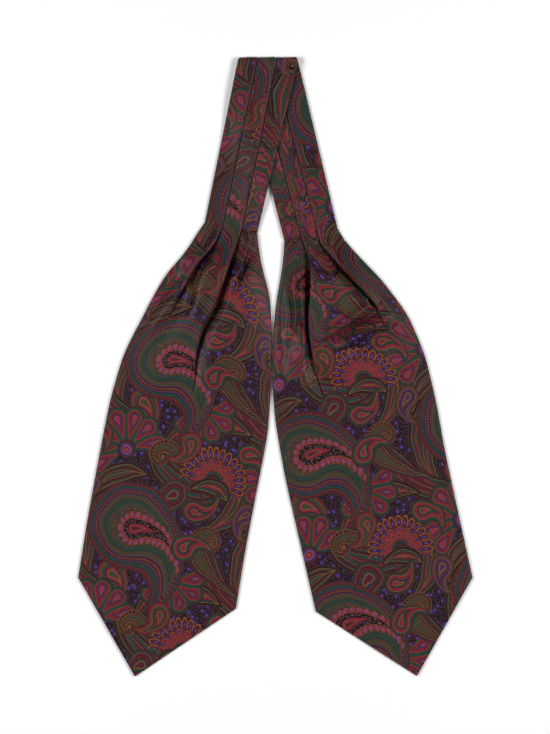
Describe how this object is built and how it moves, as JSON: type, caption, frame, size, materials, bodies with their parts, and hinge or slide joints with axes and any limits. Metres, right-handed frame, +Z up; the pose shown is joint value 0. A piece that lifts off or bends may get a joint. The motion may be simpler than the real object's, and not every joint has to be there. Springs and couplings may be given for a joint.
{
  "type": "silk day cravat laid flat",
  "caption": "Silk day cravat laid flat and folded at the nape: a pleated neckband and wide pointed blades in paisley print.",
  "frame": {"origin": "on the surface that the cravat lies on, under the centre of its bounding box", "axes": "+X across the cravat, +Y from the blade tips to the nape fold, +Z up from the surface"},
  "size_m": [0.3826, 0.6007, 0.0098],
  "materials": {
    "printed_silk": "dark silk twill with a soft sheen, printed with paisley in crimson, green, bronze and violet"
  },
  "bodies": {
    "root": {"neckband_left": "printed_silk", "neckband_right": "printed_silk", "left_blade_front": "printed_silk", "left_blade_back": "printed_silk", "right_blade_front": "printed_silk", "right_blade_back": "printed_silk"}
  },
  "joints": []
}
